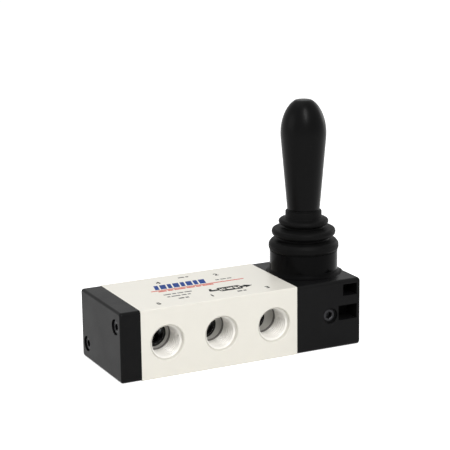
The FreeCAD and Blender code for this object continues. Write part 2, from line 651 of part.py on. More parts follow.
def make_handle_insert():
    """A threaded insert whose collar stands in the collar of the boot."""
    profile = [(0, INSERT_TOP), (INSERT_RADIUS, INSERT_TOP), (INSERT_RADIUS, GRIP_FOOT)]
    profile += [(INSERT_COLLAR_RADIUS, GRIP_FOOT), (INSERT_COLLAR_RADIUS, COLLAR_FOOT), (0, COLLAR_FOOT)]
    insert = turned(outline(profile), (LEVER_X, 0, 0), UP)
    depth = INSERT_TOP - INSERT_FLOOR - COLLAR_FOOT
    return insert.cut(rod(ROD_RADIUS + PRESS_GAP, depth, (LEVER_X, 0, COLLAR_FOOT), UP))


def make_handle_grip():
    """A cone that runs smoothly into an elliptical dome with a blunt nose."""
    wide = GRIP_FOOT + GRIP_WIDE_HEIGHT
    top = GRIP_FOOT + GRIP_LENGTH
    across = GRIP_FOOT_RADIUS / GRIP_WIDE_RADIUS
    below = (GRIP_FOOT + PRESS_GAP - wide) / GRIP_DOME_HEIGHT
    touch = math.atan2(below, across) + math.acos(1 / math.hypot(across, below))
    nose = math.acos(GRIP_NOSE_RADIUS / GRIP_WIDE_RADIUS)

    middle = point(0, 0, wide)
    whole = Part.Ellipse(point(0, 0, wide + GRIP_DOME_HEIGHT), point(GRIP_WIDE_RADIUS, 0, wide), middle)
    dome = Part.ArcOfEllipse(whole, math.pi / 2 - nose, math.pi / 2 - touch).toShape()
    shoulder = (GRIP_WIDE_RADIUS * math.cos(touch), wide + GRIP_DOME_HEIGHT * math.sin(touch))
    brow = (GRIP_NOSE_RADIUS, wide + GRIP_DOME_HEIGHT * math.sin(nose))
    rise = top - brow[1]
    nose_arc_radius = (GRIP_NOSE_RADIUS ** 2 + rise ** 2) / (2 * rise)
    half_turn = math.asin(GRIP_NOSE_RADIUS / nose_arc_radius) / 2
    tip = (nose_arc_radius * math.sin(half_turn), top - nose_arc_radius * (1 - math.cos(half_turn)))
    bore = INSERT_RADIUS + PRESS_GAP
    bore_top = INSERT_TOP + RUNNING_GAP
    foot = GRIP_FOOT + PRESS_GAP
    edges = [line((bore, foot), (GRIP_FOOT_RADIUS, foot)),
             line((GRIP_FOOT_RADIUS, foot), shoulder),
             dome,
             arc(brow, tip, (0, top)),
             line((0, top), (0, bore_top)),
             line((0, bore_top), (bore, bore_top)),
             line((bore, bore_top), (bore, foot))]
    return turned(edges, (LEVER_X, 0, 0), UP)


PIECES = {
    "valve_body": make_valve_body,
    "end_cover": make_end_cover,
    "cover_seal": make_cover_seal,
    "cover_screws": make_cover_screws,
    "lever_housing": make_lever_housing,
    "housing_seal": make_housing_seal,
    "housing_screws": make_housing_screws,
    "spool": make_spool,
    "spool_seals": make_spool_seals,
    "spool_yoke": make_spool_yoke,
    "yoke_pin": make_yoke_pin,
    "detent_ball": make_detent_ball,
    "detent_spring": make_detent_spring,
    "detent_screw": make_detent_screw,
    "pivot_carrier": make_pivot_carrier,
    "pivot_bushes": make_pivot_bushes,
    "pivot_pin": make_pivot_pin,
    "carrier_clip": make_carrier_clip,
    "lever_hub": make_lever_hub,
    "lever_rod": make_lever_rod,
    "boot": make_boot,
    "handle_insert": make_handle_insert,
    "handle_grip": make_handle_grip,
}

os.makedirs("parts", exist_ok=True)
for name, make in PIECES.items():
    shape = make()
    shape.exportStep("parts/" + name + ".step")
    print(name, len(shape.Solids), "solids", round(shape.Volume, 1), "mm3", "valid", shape.isValid())
print("stroke", round(STROKE, 3), "lever at x", round(LEVER_X, 3), "pivot at z", round(PIVOT_HEIGHT, 3))
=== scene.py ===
# %% [markdown]
# Looks of a hand lever air valve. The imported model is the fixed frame: every
# object is in metres, X runs along the spool, -Y is the side with three
# ports and Z is up. The frame's nodes say where each piece goes, so nothing
# is fitted by eye. Sizes below are in millimetres, and MM turns them into
# metres.

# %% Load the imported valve
import json
import math

import bmesh
import bpy
from mathutils import Matrix, Vector

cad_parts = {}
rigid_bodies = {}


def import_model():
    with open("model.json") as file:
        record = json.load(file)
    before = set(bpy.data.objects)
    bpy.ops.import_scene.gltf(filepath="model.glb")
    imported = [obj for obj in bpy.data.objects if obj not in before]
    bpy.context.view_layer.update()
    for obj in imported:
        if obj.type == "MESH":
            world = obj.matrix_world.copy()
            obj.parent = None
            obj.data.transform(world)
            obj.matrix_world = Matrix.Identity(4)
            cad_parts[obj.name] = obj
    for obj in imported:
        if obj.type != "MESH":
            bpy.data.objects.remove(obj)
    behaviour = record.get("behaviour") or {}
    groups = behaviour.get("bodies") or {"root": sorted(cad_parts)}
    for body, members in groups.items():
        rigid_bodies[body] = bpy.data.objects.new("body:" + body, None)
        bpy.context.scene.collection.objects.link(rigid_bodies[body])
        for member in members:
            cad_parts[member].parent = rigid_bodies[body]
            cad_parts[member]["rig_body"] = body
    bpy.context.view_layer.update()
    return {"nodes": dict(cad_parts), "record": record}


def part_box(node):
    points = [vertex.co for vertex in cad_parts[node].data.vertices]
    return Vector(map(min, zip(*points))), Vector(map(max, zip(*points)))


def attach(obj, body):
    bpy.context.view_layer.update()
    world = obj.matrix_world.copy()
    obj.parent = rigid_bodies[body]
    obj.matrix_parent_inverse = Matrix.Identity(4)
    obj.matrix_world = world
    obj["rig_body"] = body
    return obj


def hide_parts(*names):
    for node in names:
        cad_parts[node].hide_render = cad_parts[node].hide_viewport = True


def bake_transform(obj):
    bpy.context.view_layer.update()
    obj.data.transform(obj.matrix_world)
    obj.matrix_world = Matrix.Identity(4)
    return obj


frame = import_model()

MM = 0.001
scene = bpy.context.scene

# %% [markdown]
# The camera stands where the photographer stood: left of the front, a little
# above the block. Its place, turn and lens were found by fitting the block's
# corners and the ports. Places are in metres.

# %% Camera
VIEW_AZIMUTH = math.radians(-26.146)
VIEW_ELEVATION = math.radians(13.958)
VIEW_ROLL = math.radians(-0.735)
EYE = Vector((-0.26178, -0.53684, 0.19839))
LENS_MM = 128.64
SENSOR_MM = 36
VIEW_REACH = 20


def camera_axes(azimuth, elevation, roll):
    """Right, up and backward directions of a camera that is turned by these angles."""
    level = math.cos(elevation)
    back = Vector((math.sin(azimuth) * level, -math.cos(azimuth) * level, math.sin(elevation)))
    right = Vector((0, 0, 1)).cross(back).normalized()
    up = back.cross(right)
    turned_right = right * math.cos(roll) + up * math.sin(roll)
    turned_up = up * math.cos(roll) - right * math.sin(roll)
    return turned_right, turned_up, back


lens = bpy.data.cameras.new("camera")
lens.lens = LENS_MM
lens.sensor_width = SENSOR_MM
lens.clip_end = VIEW_REACH
camera = bpy.data.objects.new("camera", lens)
scene.collection.objects.link(camera)
axes = camera_axes(VIEW_AZIMUTH, VIEW_ELEVATION, VIEW_ROLL)
camera.matrix_world = Matrix.Translation(EYE) @ Matrix(axes).transposed().to_4x4()
scene.camera = camera
scene.view_settings.view_transform = "Standard"
print("camera at", [round(v, 3) for v in EYE], "m, lens", LENS_MM, "mm")

# %% [markdown]
# A product photograph of this kind is lit by big soft boxes in a white
# surround. The floor and the surround are white to the camera and in every
# reflection. The light that falls on the object comes from the plain world and
# four boxes: at the left, above, in front and a weak one at the right. Places
# and sizes of the boxes are in metres, and their power is in watts.

# %% Floor, surround and lamps
WORLD_LIGHT = 0.42
FLOOR_COLOUR = (0.8, 0.8, 0.8, 1)
FLOOR_GLOW = 0.67
FLOOR_REACH = 3.0
NODE_SETTINGS = ("operation", "data_type", "mode")


def link(tree, start, end):
    tree.links.new(start, end)


def add_node(tree, kind, **settings):
    """Adds a node; a value named after a socket fills it, any other is a setting of the node."""
    node = tree.nodes.new(kind)
    for key, value in settings.items():
        name = key.replace("_", " ").title()
        if name in node.inputs and key not in NODE_SETTINGS:
            node.inputs[name].default_value = value
        else:
            setattr(node, key, value)
    return node


def seen_ray(tree):
    """1 for rays that show the surround: from the camera, off gloss or through glass."""
    ray = add_node(tree, "ShaderNodeLightPath")
    gloss = add_node(tree, "ShaderNodeMath", operation="MAXIMUM")
    seen = add_node(tree, "ShaderNodeMath", operation="MAXIMUM")
    link(tree, ray.outputs["Is Glossy Ray"], gloss.inputs[0])
    link(tree, ray.outputs["Is Transmission Ray"], gloss.inputs[1])
    link(tree, ray.outputs["Is Camera Ray"], seen.inputs[0])
    link(tree, gloss.outputs[0], seen.inputs[1])
    return seen.outputs[0]


def build_world():
    world = bpy.data.worlds.new("studio")
    world.use_nodes = True
    tree = world.node_tree
    tree.nodes.clear()
    out = add_node(tree, "ShaderNodeOutputWorld")
    light = add_node(tree, "ShaderNodeBackground", color=(1, 1, 1, 1), strength=WORLD_LIGHT)
    white = add_node(tree, "ShaderNodeBackground", color=(1, 1, 1, 1), strength=1.0)
    mix = add_node(tree, "ShaderNodeMixShader")
    link(tree, seen_ray(tree), mix.inputs[0])
    link(tree, light.outputs[0], mix.inputs[1])
    link(tree, white.outputs[0], mix.inputs[2])
    link(tree, mix.outputs[0], out.inputs[0])
    scene.world = world


def build_floor():
    mesh = bpy.data.meshes.new("floor")
    r = FLOOR_REACH
    mesh.from_pydata([(-r, -r, 0), (r, -r, 0), (r, r, 0), (-r, r, 0)], [], [(0, 1, 2, 3)])
    floor = bpy.data.objects.new("floor", mesh)
    scene.collection.objects.link(floor)
    material = bpy.data.materials.new("floor")
    material.use_nodes = True
    tree = material.node_tree
    tree.nodes.clear()
    out = add_node(tree, "ShaderNodeOutputMaterial")
    matt = add_node(tree, "ShaderNodeBsdfDiffuse", color=FLOOR_COLOUR)
    glow = add_node(tree, "ShaderNodeEmission", color=(1, 1, 1, 1), strength=FLOOR_GLOW)
    lift = add_node(tree, "ShaderNodeAddShader")
    mix = add_node(tree, "ShaderNodeMixShader")
    link(tree, matt.outputs[0], lift.inputs[0])
    link(tree, glow.outputs[0], lift.inputs[1])
    link(tree, seen_ray(tree), mix.inputs[0])
    link(tree, matt.outputs[0], mix.inputs[1])
    link(tree, lift.outputs[0], mix.inputs[2])
    link(tree, mix.outputs[0], out.inputs[0])
    mesh.materials.append(material)


def soft_box(name, place, aim, size, watts):
    """A rectangular area lamp at a place, turned to an aim point."""
    data = bpy.data.lights.new(name, "AREA")
    data.shape = "RECTANGLE"
    data.size, data.size_y = size
    data.energy = watts
    lamp = bpy.data.objects.new(name, data)
    scene.collection.objects.link(lamp)
    turn = (Vector(aim) - Vector(place)).to_track_quat("-Z", "Y")
    lamp.matrix_world = Matrix.Translation(place) @ turn.to_matrix().to_4x4()


MIDDLE = (0, 0, 0.04)
build_world()
build_floor()
soft_box("left_box", (-0.75, 0.1, 0.3), MIDDLE, (0.5, 0.4), 1.0)
soft_box("top_box", (-0.1, 0.15, 0.9), MIDDLE, (0.8, 0.6), 1.15)
soft_box("front_box", (-0.15, -0.75, 0.8), MIDDLE, (0.2, 0.6), 7.2)
soft_box("right_box", (0.85, 0.3, 0.2), MIDDLE, (0.4, 0.3), 0.9)

# %% [markdown]
# Finishes. Each is a Principled surface whose colour, roughness and bump come
# from noise in Object coordinates, at the scale that the real finish has. The
# black ones have a low index of refraction, because the white surround would
# turn them grey.

# %% Finishes
CLOUD_MM = 9.0
RELIEF_MM = 0.05
GRAIN_NOISE = dict(detail=3.0, roughness=0.6)
CLOUD_NOISE = dict(detail=4.0, roughness=0.55)
TONE_STOPS = (0.3, 0.7)


def finish(name, colour, roughness, grain_mm, bump=0.1, spread=0.15, metallic=0.0,
           rough_spread=0.08, ior=1.5):
    """A surface with fine grain, clouded roughness and a slight change of tone."""
    material = bpy.data.materials.new(name)
    material.use_nodes = True
    tree = material.node_tree
    surface = tree.nodes["Principled BSDF"]
    surface.inputs["Metallic"].default_value = metallic
    surface.inputs["IOR"].default_value = ior
    place = add_node(tree, "ShaderNodeTexCoord")
    grain = add_node(tree, "ShaderNodeTexNoise", scale=1 / (grain_mm * MM), **GRAIN_NOISE)
    cloud = add_node(tree, "ShaderNodeTexNoise", scale=1 / (CLOUD_MM * MM), **CLOUD_NOISE)
    tone = add_node(tree, "ShaderNodeValToRGB")
    tone.color_ramp.elements[0].position = TONE_STOPS[0]
    tone.color_ramp.elements[1].position = TONE_STOPS[1]
    tone.color_ramp.elements[0].color = [c * (1 - spread) for c in colour] + [1]
    tone.color_ramp.elements[1].color = [min(1, c * (1 + spread)) for c in colour] + [1]
    shine = add_node(tree, "ShaderNodeMapRange")
    shine.inputs["To Min"].default_value = roughness - rough_spread
    shine.inputs["To Max"].default_value = roughness + rough_spread
    relief = add_node(tree, "ShaderNodeBump", strength=bump, distance=RELIEF_MM * MM)
    for noise in (grain, cloud):
        link(tree, place.outputs["Object"], noise.inputs["Vector"])
    link(tree, cloud.outputs["Fac"], tone.inputs[0])
    link(tree, tone.outputs[0], surface.inputs["Base Color"])
    link(tree, cloud.outputs["Fac"], shine.inputs[0])
    link(tree, shine.outputs[0], surface.inputs["Roughness"])
    link(tree, grain.outputs["Fac"], relief.inputs["Height"])
    link(tree, relief.outputs[0], surface.inputs["Normal"])
    return material


# Name, colour, roughness and grain in millimetres, then what differs from the usual.
FINISH_ROWS = [
    ("body_paint", (0.80, 0.775, 0.70), 0.38, 0.5, dict(bump=0.12, spread=0.012)),
    ("black_moulding", (0.005, 0.005, 0.0052), 0.38, 0.16, dict(bump=0.25, ior=1.16)),
    ("black_steel", (0.03, 0.03, 0.032), 0.36, 0.2, dict(metallic=0.8, ior=1.3)),
    ("seal_rubber", (0.015, 0.015, 0.015), 0.5, 0.3, {}),
    ("spool_aluminium", (0.72, 0.73, 0.75), 0.28, 0.2, dict(metallic=1.0, spread=0.05)),
    ("bright_steel", (0.6, 0.6, 0.61), 0.24, 0.2, dict(metallic=1.0, spread=0.05)),
    ("spring_steel", (0.5, 0.5, 0.52), 0.3, 0.2, dict(metallic=1.0, spread=0.05)),
    ("cast_zinc", (0.55, 0.56, 0.58), 0.45, 0.4, dict(metallic=1.0, spread=0.08)),
    ("brass", (0.72, 0.52, 0.22), 0.3, 0.2, dict(metallic=1.0, spread=0.06)),
    ("boot_rubber", (0.005, 0.005, 0.005), 0.5, 0.35, dict(bump=0.12, spread=0.2, ior=1.12)),
    ("grip_plastic", (0.0024, 0.0024, 0.0025), 0.32, 0.22, dict(rough_spread=0.03, ior=1.16)),
    ("neck_gloss", (0.0022, 0.0022, 0.0023), 0.16, 0.3, dict(bump=0.05, rough_spread=0.04, ior=1.11)),
    # The next row is painted shade: a darker black for the hollow at the neck's foot.
    ("neck_foot", (0.0022, 0.0022, 0.0023), 0.5, 0.3, dict(bump=0.05, ior=1.1)),
    # The next row is the body's paint made lighter: painted light on the shaded walls inside the ports.
    ("thread_paint", (0.93, 0.91, 0.86), 0.3, 0.4, dict(spread=0.02)),
    ("port_floor", (0.56, 0.55, 0.52), 0.4, 0.3, dict(spread=0.06)),
    # The next row is painted shade: a dark ring for the shadow in the groove where a tap ran out.
    ("groove_metal", (0.16, 0.15, 0.14), 0.45, 0.3, dict(metallic=0.2)),
    # The next row is painted shade: a nearly black finish for the deep passages behind the ports and
    # their rims.
    ("oiled_bore", (0.02, 0.02, 0.02), 0.5, 0.3, dict(ior=1.2)),
    ("blue_ink", (0.012, 0.05, 0.24), 0.5, 0.2, dict(spread=0.12, ior=1.15)),
    ("red_ink", (0.62, 0.1, 0.07), 0.5, 0.2, dict(spread=0.1, ior=1.15)),
    ("black_ink", (0.008, 0.008, 0.009), 0.5, 0.2, dict(ior=1.12)),
    ("grey_ink", (0.12, 0.12, 0.12), 0.5, 0.2, dict(spread=0.1, ior=1.15)),
]
FINISHES = {row[0]: finish(*row[:-1], **row[-1]) for row in FINISH_ROWS}
SLOT_OF = {item["node"]: item["material_slot"] for item in frame["record"]["subparts"]}
print(len(FINISHES), "finishes")

# %% [markdown]
# Node trees make what repeats or follows a rule. A tree is built once with
# named inputs, run on an object, and its result is kept as a plain mesh. The
# mesh is then welded and shaded smooth up to an angle.

# %% Running a node tree
MERGE_REACH = 1e-7


def new_tree(name, sockets):
    """A geometry tree with a geometry output and the named inputs."""
    tree = bpy.data.node_groups.new(name, "GeometryNodeTree")
    tree.interface.new_socket("Geometry", in_out="OUTPUT", socket_type="NodeSocketGeometry")
    tree.interface.new_socket("Geometry", in_out="INPUT", socket_type="NodeSocketGeometry")
    for title, kind in sockets:
        tree.interface.new_socket(title, in_out="INPUT", socket_type="NodeSocket" + kind)
    source = tree.nodes.new("NodeGroupInput")
    result = tree.nodes.new("NodeGroupOutput")
    return tree, source, result


def close_tree(tree, source, result, geometry):
    """Every tree ends the same way: real geometry with its finish."""
    real = tree.nodes.new("GeometryNodeRealizeInstances")
    paint = tree.nodes.new("GeometryNodeSetMaterial")
    link(tree, geometry, real.inputs[0])
    link(tree, real.outputs[0], paint.inputs["Geometry"])
    link(tree, source.outputs["Finish"], paint.inputs["Material"])
    link(tree, paint.outputs[0], result.inputs[0])


def grow(name, tree, start_mesh, **values):
    """Runs a tree on a mesh and returns a new object that holds the plain result."""
    seed = bpy.data.objects.new(name + "_seed", start_mesh)
    scene.collection.objects.link(seed)
    modifier = seed.modifiers.new("tree", "NODES")
    modifier.node_group = tree
    for item in tree.interface.items_tree:
        socket = item.name.replace(" ", "_").lower()
        if item.in_out == "INPUT" and socket in values:
            modifier[item.identifier] = values[socket]
    depsgraph = bpy.context.evaluated_depsgraph_get()
    mesh = bpy.data.meshes.new_from_object(seed.evaluated_get(depsgraph), depsgraph=depsgraph)
    seed.modifiers.remove(modifier)
    bpy.data.objects.remove(seed)
    return add_piece(name, mesh)


def add_piece(name, mesh):
    mesh.name = name
    piece = bpy.data.objects.new(name, mesh)
    scene.collection.objects.link(piece)
    return piece


def tidy_mesh(mesh, smooth_degrees, merge=MERGE_REACH):
    """Merges doubles, points the faces outwards and shades smooth up to an angle."""
    work = bmesh.new()
    work.from_mesh(mesh)
    bmesh.ops.remove_doubles(work, verts=work.verts, dist=merge)
    bmesh.ops.recalc_face_normals(work, faces=work.faces)
    limit = math.radians(smooth_degrees)
    for face in work.faces:
        face.smooth = True
    for edge in work.edges:
        edge.smooth = len(edge.link_faces) == 2 and edge.calc_face_angle(0) < limit
    work.to_mesh(mesh)
    work.free()
    return mesh


def points_mesh(name, points, closed=False):
    """A chain of points joined by edges, which a tree takes as its profile."""
    mesh = bpy.data.meshes.new(name)
    edges = [(i, i + 1) for i in range(len(points) - 1)]
    if closed:
        edges.append((len(points) - 1, 0))
    mesh.from_pydata([Vector(p) for p in points], edges, [])
    return mesh


print("tools for node trees are ready")

# %% [markdown]
# A lathe is the rule behind the handle and the boot: a profile of radius and
# height goes round an upright axis. The tree rounds the profile's corners by
# the radius that each point carries, then sweeps it along a circle. A profile
# point lies beside the circle, so the circle's radius is taken off first.

# %% The lathe tree
GUIDE_RADIUS = 20 * MM
CORNER_STEPS = 6


def build_lathe():
    sockets = [("Steps", "Int"), ("Corner Steps", "Int"), ("Axis", "Vector"), ("Finish", "Material")]
    tree, source, result = new_tree("lathe", sockets)
    shift = add_node(tree, "GeometryNodeTransform", translation=(-GUIDE_RADIUS, 0, 0), scale=(1, -1, 1))
    profile = add_node(tree, "GeometryNodeMeshToCurve")
    corner = add_node(tree, "GeometryNodeInputNamedAttribute", data_type="FLOAT", name="corner")
    fillet = add_node(tree, "GeometryNodeFilletCurve", mode="POLY", limit_radius=True)
    circle = add_node(tree, "GeometryNodeCurvePrimitiveCircle", radius=GUIDE_RADIUS)
    sweep = add_node(tree, "GeometryNodeCurveToMesh")
    weld = add_node(tree, "GeometryNodeMergeByDistance", distance=MERGE_REACH)
    place = add_node(tree, "GeometryNodeTransform")
    link(tree, source.outputs["Geometry"], shift.inputs["Geometry"])
    link(tree, shift.outputs[0], profile.inputs[0])
    link(tree, profile.outputs[0], fillet.inputs["Curve"])
    link(tree, corner.outputs[0], fillet.inputs["Radius"])
    link(tree, source.outputs["Corner Steps"], fillet.inputs["Count"])
    link(tree, source.outputs["Steps"], circle.inputs["Resolution"])
    link(tree, circle.outputs[0], sweep.inputs["Curve"])
    link(tree, fillet.outputs[0], sweep.inputs["Profile Curve"])
    link(tree, sweep.outputs[0], weld.inputs[0])
    link(tree, weld.outputs[0], place.inputs["Geometry"])
    link(tree, source.outputs["Axis"], place.inputs["Translation"])
    close_tree(tree, source, result, place.outputs[0])
    return tree


LATHE = build_lathe()


def lathe(name, profile, axis_x, finish_name, steps, closed, smooth_degrees):
    """Turns (radius, height, corner radius) points in millimetres round an upright axis."""
    chain = points_mesh(name, [(r * MM, z * MM, 0) for r, z, c in profile], closed)
    corner = chain.attributes.new("corner", "FLOAT", "POINT")
    corner.data.foreach_set("value", [c * MM for r, z, c in profile])
    piece = grow(name, LATHE, chain, steps=steps, corner_steps=CORNER_STEPS, axis=(axis_x, 0, 0),
                 finish=FINISHES[finish_name])
    tidy_mesh(piece.data, smooth_degrees)
    return piece


print("lathe sockets:", [item.name for item in LATHE.interface.items_tree])

# %% [markdown]
# The boot is a soft bellows of three folds that grow towards the neck, with a
# plain collar that grips the handle's foot. Its sizes come from the node that
# it stands for: the widest fold fills the node's box.

# %% Boot
boot_low, boot_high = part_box("boot")
LEVER_X = (boot_low.x + boot_high.x) / 2
FOOT_Z = boot_low.z / MM
TOP_Z = boot_high.z / MM
FOLD_OUT = (boot_high.x - boot_low.x) / 2 / MM
NECK_FIT = 11.8
COLLAR_BORE = 5.7
COLLAR_OUT = 7.1
COLLAR_TALL = 2.9
LIP_TALL = 0.49
WALL = 1.15
# A fold: its radius, the height of its middle over the boot's foot, half its
# height, the depth of its roots and the rounding of its corners.
MIDDLE_FOLD = (12.6, 7.2, 1.45, 1.0, 0.8)
UPPER_FOLD = (9.85, 11.3, 1.1, 0.8, 0.6)
LOWER_GAP_R = 10.0
UPPER_GAP_R = 7.9


def fold_points(fold):
    """One fold from its lower root to its upper rim, as seen in section."""
    radius, rise, half, dip, corner = fold
    middle = FOOT_Z + rise
    return [(radius - dip, middle - half, corner * 0.6),
            (radius - 0.25, middle - half * 0.62, corner),
            (radius, middle + half * 0.1, corner),
            (radius - 0.3, middle + half * 0.75, corner),
            (radius - dip, middle + half, corner * 0.8)]


def fold_inside(fold, rounding):
    """The point of the inner wall behind a fold."""
    radius, rise, half, dip, corner = fold
    return radius - dip - WALL, FOOT_Z + rise, rounding


def boot_profile():
    """The boot's closed section as (radius, height, corner radius) points in millimetres."""
    collar_z = TOP_Z - COLLAR_TALL
    skirt = [(NECK_FIT, FOOT_Z, 0),
             (FOLD_OUT - 0.55, FOOT_Z, 0.3),
             (FOLD_OUT, FOOT_Z + 1.0, 0.8),
             (FOLD_OUT - 0.02, FOOT_Z + 2.6, 1.2),
             (FOLD_OUT - 0.9, FOOT_Z + 3.85, 1.0)]
    lower_gap = [(LOWER_GAP_R, FOOT_Z + 4.45, 0.5), (LOWER_GAP_R + 0.1, FOOT_Z + 5.35, 0.5)]
    upper_gap = [(UPPER_GAP_R, FOOT_Z + 9.05, 0.4), (UPPER_GAP_R + 0.1, FOOT_Z + 10.0, 0.4)]
    collar = [(COLLAR_OUT + 0.05, collar_z, 0.3), (COLLAR_OUT, TOP_Z, 0.4)]
    lip = [(COLLAR_BORE + 0.55, TOP_Z, 0.15),
           (COLLAR_BORE + 0.45, TOP_Z + LIP_TALL, 0.1),
           (COLLAR_BORE, TOP_Z + LIP_TALL, 0.1)]
    inner = [(COLLAR_BORE, collar_z, 0.3),
             fold_inside(UPPER_FOLD, 0.4),
             (UPPER_GAP_R - WALL, FOOT_Z + 9.5, 0.4),
             fold_inside(MIDDLE_FOLD, 0.5),
             (LOWER_GAP_R - WALL, FOOT_Z + 4.9, 0.4),
             (NECK_FIT, FOOT_Z + 2.5, 0.4)]
    outer = skirt + lower_gap + fold_points(MIDDLE_FOLD) + upper_gap + fold_points(UPPER_FOLD)
    return outer + collar + lip + inner


boot = lathe("rubber_boot", boot_profile(), LEVER_X, "boot_rubber", steps=144, closed=True,
             smooth_degrees=40)
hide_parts("boot")
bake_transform(boot)
print("boot:", len(boot.data.polygons), "faces, from", round(FOOT_Z, 2), "to", round(TOP_Z, 2), "mm")

# %% [markdown]
# The handle is a moulded cone that swells into an egg-shaped head. The cone
# touches the head's ellipse, so the outline has no kink there. The head's end
# is a little blunter than the ellipse, as on the real moulding, and the brow
# where the blunt end begins is rounded.

# %% Handle
grip_low, grip_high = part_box("handle_grip")
GRIP_WIDE = (grip_high.x - grip_low.x) / 2 / MM
GRIP_FOOT_R = 6.45
GRIP_WIDE_RISE = 30.08
GRIP_WIDE_Z = grip_low.z / MM + GRIP_WIDE_RISE
HEAD_TALL = 13.9
NOSE_R = 3.2
NOSE_CORNER = 2.5
HEAD_STEPS = 22
INSERT_R = 4.25


def grip_profile():
    """The handle's open section as (radius, height, corner radius) points in millimetres."""
    foot = grip_low.z / MM
    top = grip_high.z / MM
    across = GRIP_FOOT_R / GRIP_WIDE
    below = (foot - GRIP_WIDE_Z) / HEAD_TALL
    touch = math.atan2(below, across) + math.acos(1 / math.hypot(across, below))
    brow = math.acos(NOSE_R / GRIP_WIDE)
    points = [(INSERT_R, foot, 0), (GRIP_FOOT_R - 0.05, foot, 0.35)]
    for i in range(HEAD_STEPS + 1):
        angle = touch + (brow - touch) * i / HEAD_STEPS
        height = GRIP_WIDE_Z + HEAD_TALL * math.sin(angle)
        corner = NOSE_CORNER if i == HEAD_STEPS else 0
        points.append((GRIP_WIDE * math.cos(angle), height, corner))
    rise = top - points[-1][1]
    for share in (0.75, 0.5, 0.25, 0.0):
        points.append((NOSE_R * share, top - rise * share ** 2, 0))
    return points


grip = lathe("grip", grip_profile(), LEVER_X, "grip_plastic", steps=128, closed=False,
             smooth_degrees=50)
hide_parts("handle_grip")
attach(grip, "lever")
print("handle:", len(grip.data.polygons), "faces, widest", round(2 * GRIP_WIDE, 2), "mm")

# %% [markdown]
# The metal body, the end cover and the lever housing keep the imported shapes.
# A imported mesh is loose triangles, so a copy is welded and shaded smooth up to
# an angle, which keeps its rounded edges soft and its sharp ones crisp. In the
# body's copy the port walls move out to the root of the thread, and the neck of
# the housing's copy is glossier than the rest. The hollow at the neck's foot gets
# a darker black, which is painted shade where the neck meets the top face. A
# slack is how far a vertex or a face may lie off a surface and still count as
# part of it.

# %% Body, cover and housing
WELD_REACH = 2e-6
THREAD_ROOT = 6.5
THREAD_CREST = 5.75
WALL_SLACK = 0.03
FLOOR_SLACK = 0.02
FACE_WEIGHT = 100
ACROSS_X = 0.999
PORT_DEPTH = 12.0
MOUTH_DEPTH = 0.8
GALLERY_R = 8.8
BORE_SIDE_R = 7.3
NECK_R = 13.4
NECK_FOOT_R = 1.9
NECK_SLACK = 0.05
FOOT_EDGE = 0.1
ports = [mount for mount in frame["record"]["mounts"] if mount["kind"] == "threaded_hole"]
port_radius = ports[0]["dims"]["r_mm"]
port_wall = ports[0]["dims"]["length_mm"]
axis_z = ports[0]["pos_m"][2]
FRONT_PORTS = sorted(port["pos_m"][0] for port in ports if port["axis"][1] < 0)
BACK_PORTS = sorted(port["pos_m"][0] for port in ports if port["axis"][1] > 0)
body_low, body_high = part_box("valve_body")
FACE_Y = body_high.y / MM
PORT_FLOOR_Y = FACE_Y - PORT_DEPTH
MOUTH_Y = FACE_Y - MOUTH_DEPTH


def level_shading(mesh):
    """Weighs normals by face area, so that a flat face shades evenly up to its rounded edges."""
    seed = bpy.data.objects.new("shading_seed", mesh)
    scene.collection.objects.link(seed)
    modifier = seed.modifiers.new("weigh", "WEIGHTED_NORMAL")
    modifier.weight = FACE_WEIGHT
    modifier.keep_sharp = True
    depsgraph = bpy.context.evaluated_depsgraph_get()
    level = bpy.data.meshes.new_from_object(seed.evaluated_get(depsgraph), depsgraph=depsgraph)
    bpy.data.objects.remove(seed)
    return level


def skin(node, finish_name, name, smooth_degrees):
    """A welded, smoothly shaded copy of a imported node, to stand for it."""
    mesh = frame["nodes"][node].data.copy()
    mesh.materials.clear()
    mesh.materials.append(FINISHES[finish_name])
    tidy_mesh(mesh, smooth_degrees, merge=WELD_REACH)
    piece = add_piece(name, level_shading(mesh))
    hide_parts(node)
    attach(piece, frame["nodes"][node]["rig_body"])
    return piece


def widen_ports(mesh):
    """Moves the vertices of the port walls out to the thread's root."""
    moved = 0
    for vertex in mesh.vertices:
        depth = abs(vertex.co.y) / MM
        row = FRONT_PORTS if vertex.co.y < 0 else BACK_PORTS
        for x in row:
            radius = math.hypot(vertex.co.x - x, vertex.co.z - axis_z) / MM
            if abs(radius - port_radius) < WALL_SLACK and depth > PORT_FLOOR_Y - FLOOR_SLACK:
                scale = THREAD_ROOT / radius
                vertex.co.x = x + (vertex.co.x - x) * scale
                vertex.co.z = axis_z + (vertex.co.z - axis_z) * scale
                if depth > PORT_FLOOR_Y + port_wall / 2:
                    vertex.co.y = math.copysign(MOUTH_Y * MM, vertex.co.y)
                moved += 1
    return moved


def paint_inside(mesh):
    """The paint ends at the ports' floors, which are bare; the bores behind get a nearly black finish,
    which is painted shade of the deep passages.
    """
    mesh.materials.append(FINISHES["port_floor"])
    mesh.materials.append(FINISHES["oiled_bore"])
    counts = [0, 0, 0]
    for face in mesh.polygons:
        x, y, z = face.center
        depth = abs(y) / MM
        off_axis = math.hypot(y, z - axis_z) / MM
        off_port = min(math.hypot(x - port, z - axis_z) for port in FRONT_PORTS + BACK_PORTS) / MM
        behind = depth < PORT_FLOOR_Y - FLOOR_SLACK
        if abs(depth - PORT_FLOOR_Y) < FLOOR_SLACK and off_port < THREAD_ROOT:
            face.material_index = 1
        elif behind and off_axis < GALLERY_R and abs(face.normal.x) < ACROSS_X:
            face.material_index = 2
        elif depth < PORT_FLOOR_Y and off_axis < BORE_SIDE_R:
            face.material_index = 2
        counts[face.material_index] += 1
    return counts


